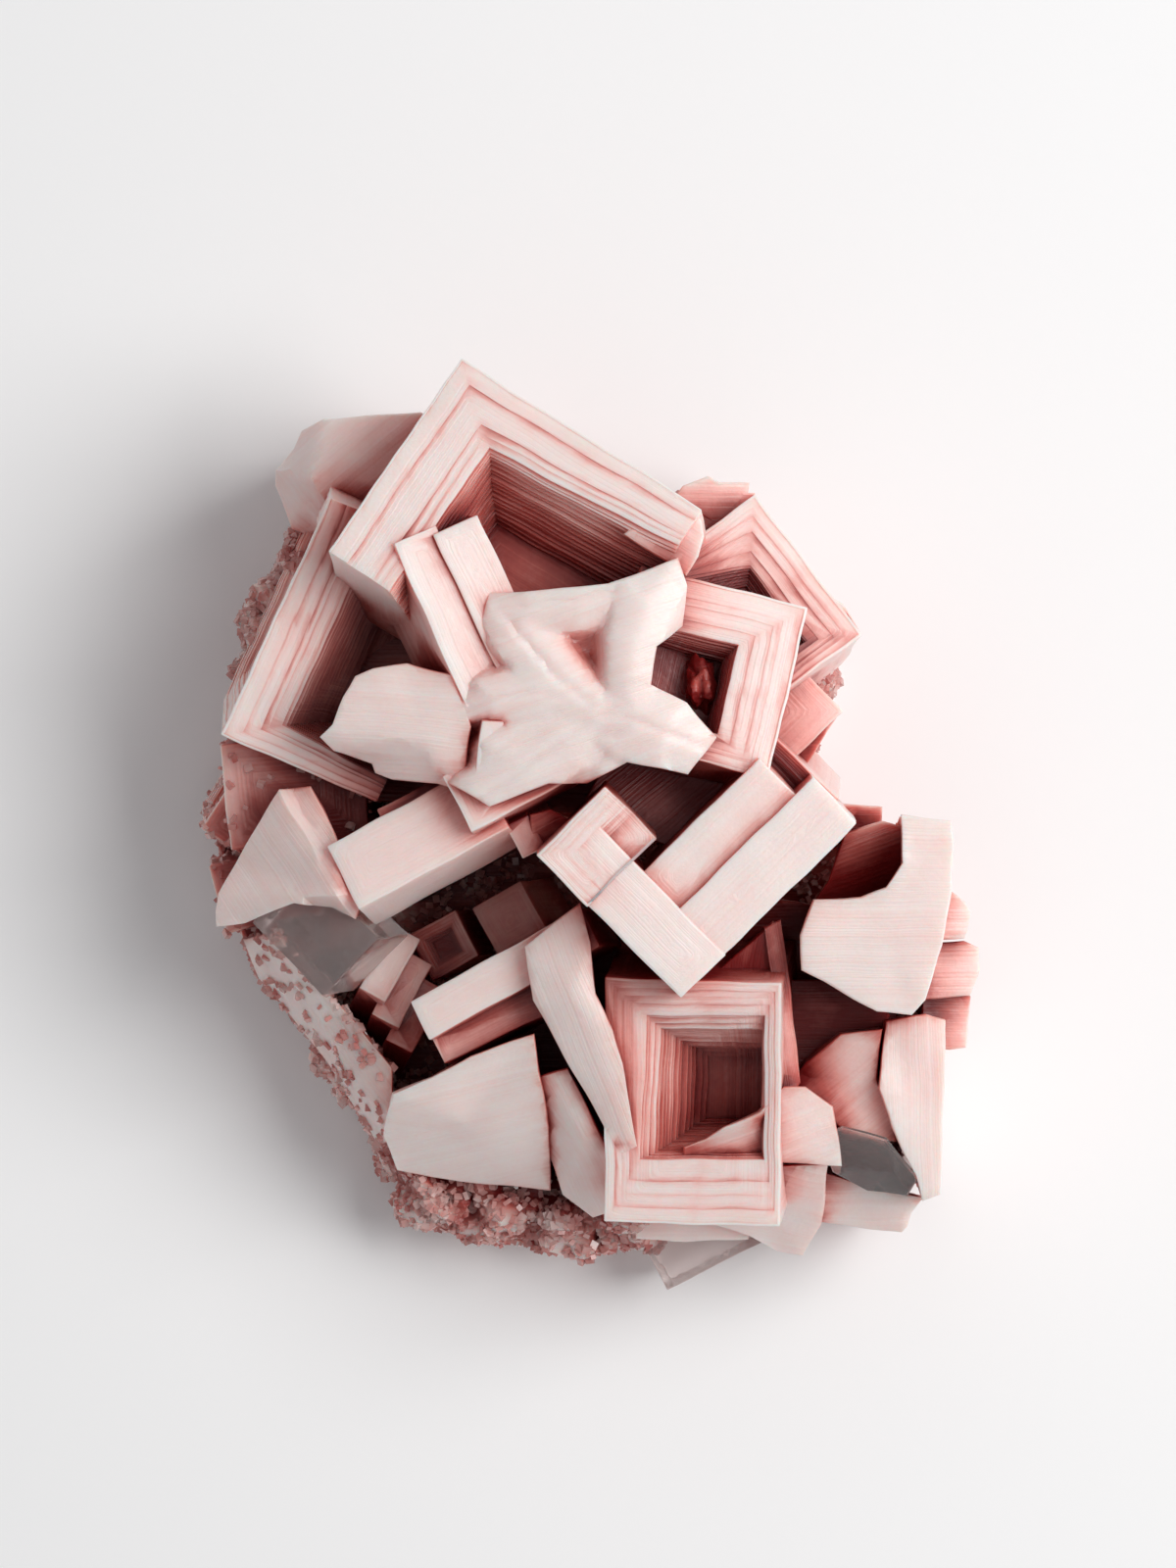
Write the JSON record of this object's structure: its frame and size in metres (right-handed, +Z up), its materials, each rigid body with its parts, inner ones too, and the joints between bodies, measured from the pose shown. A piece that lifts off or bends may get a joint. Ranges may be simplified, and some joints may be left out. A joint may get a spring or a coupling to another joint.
{
  "type": "halite cubic crystal cluster",
  "caption": "Cluster of pink halite cubes with stepped hopper hollows, grown through each other round a star of leaf-like blades, on a flat broken base.",
  "frame": {"origin": "centre of the flat underside's outline box, on the surface the cluster rests on", "axes": "+Z up from the flat underside, +Y along the cluster's longest extent towards the big open frame, +X to the right seen from above"},
  "size_m": [0.0672, 0.0797, 0.0396],
  "materials": {
    "pink_halite": "frosted, slightly translucent"
  },
  "bodies": {
    "root": {"halite_cluster": "pink_halite"}
  },
  "joints": []
}
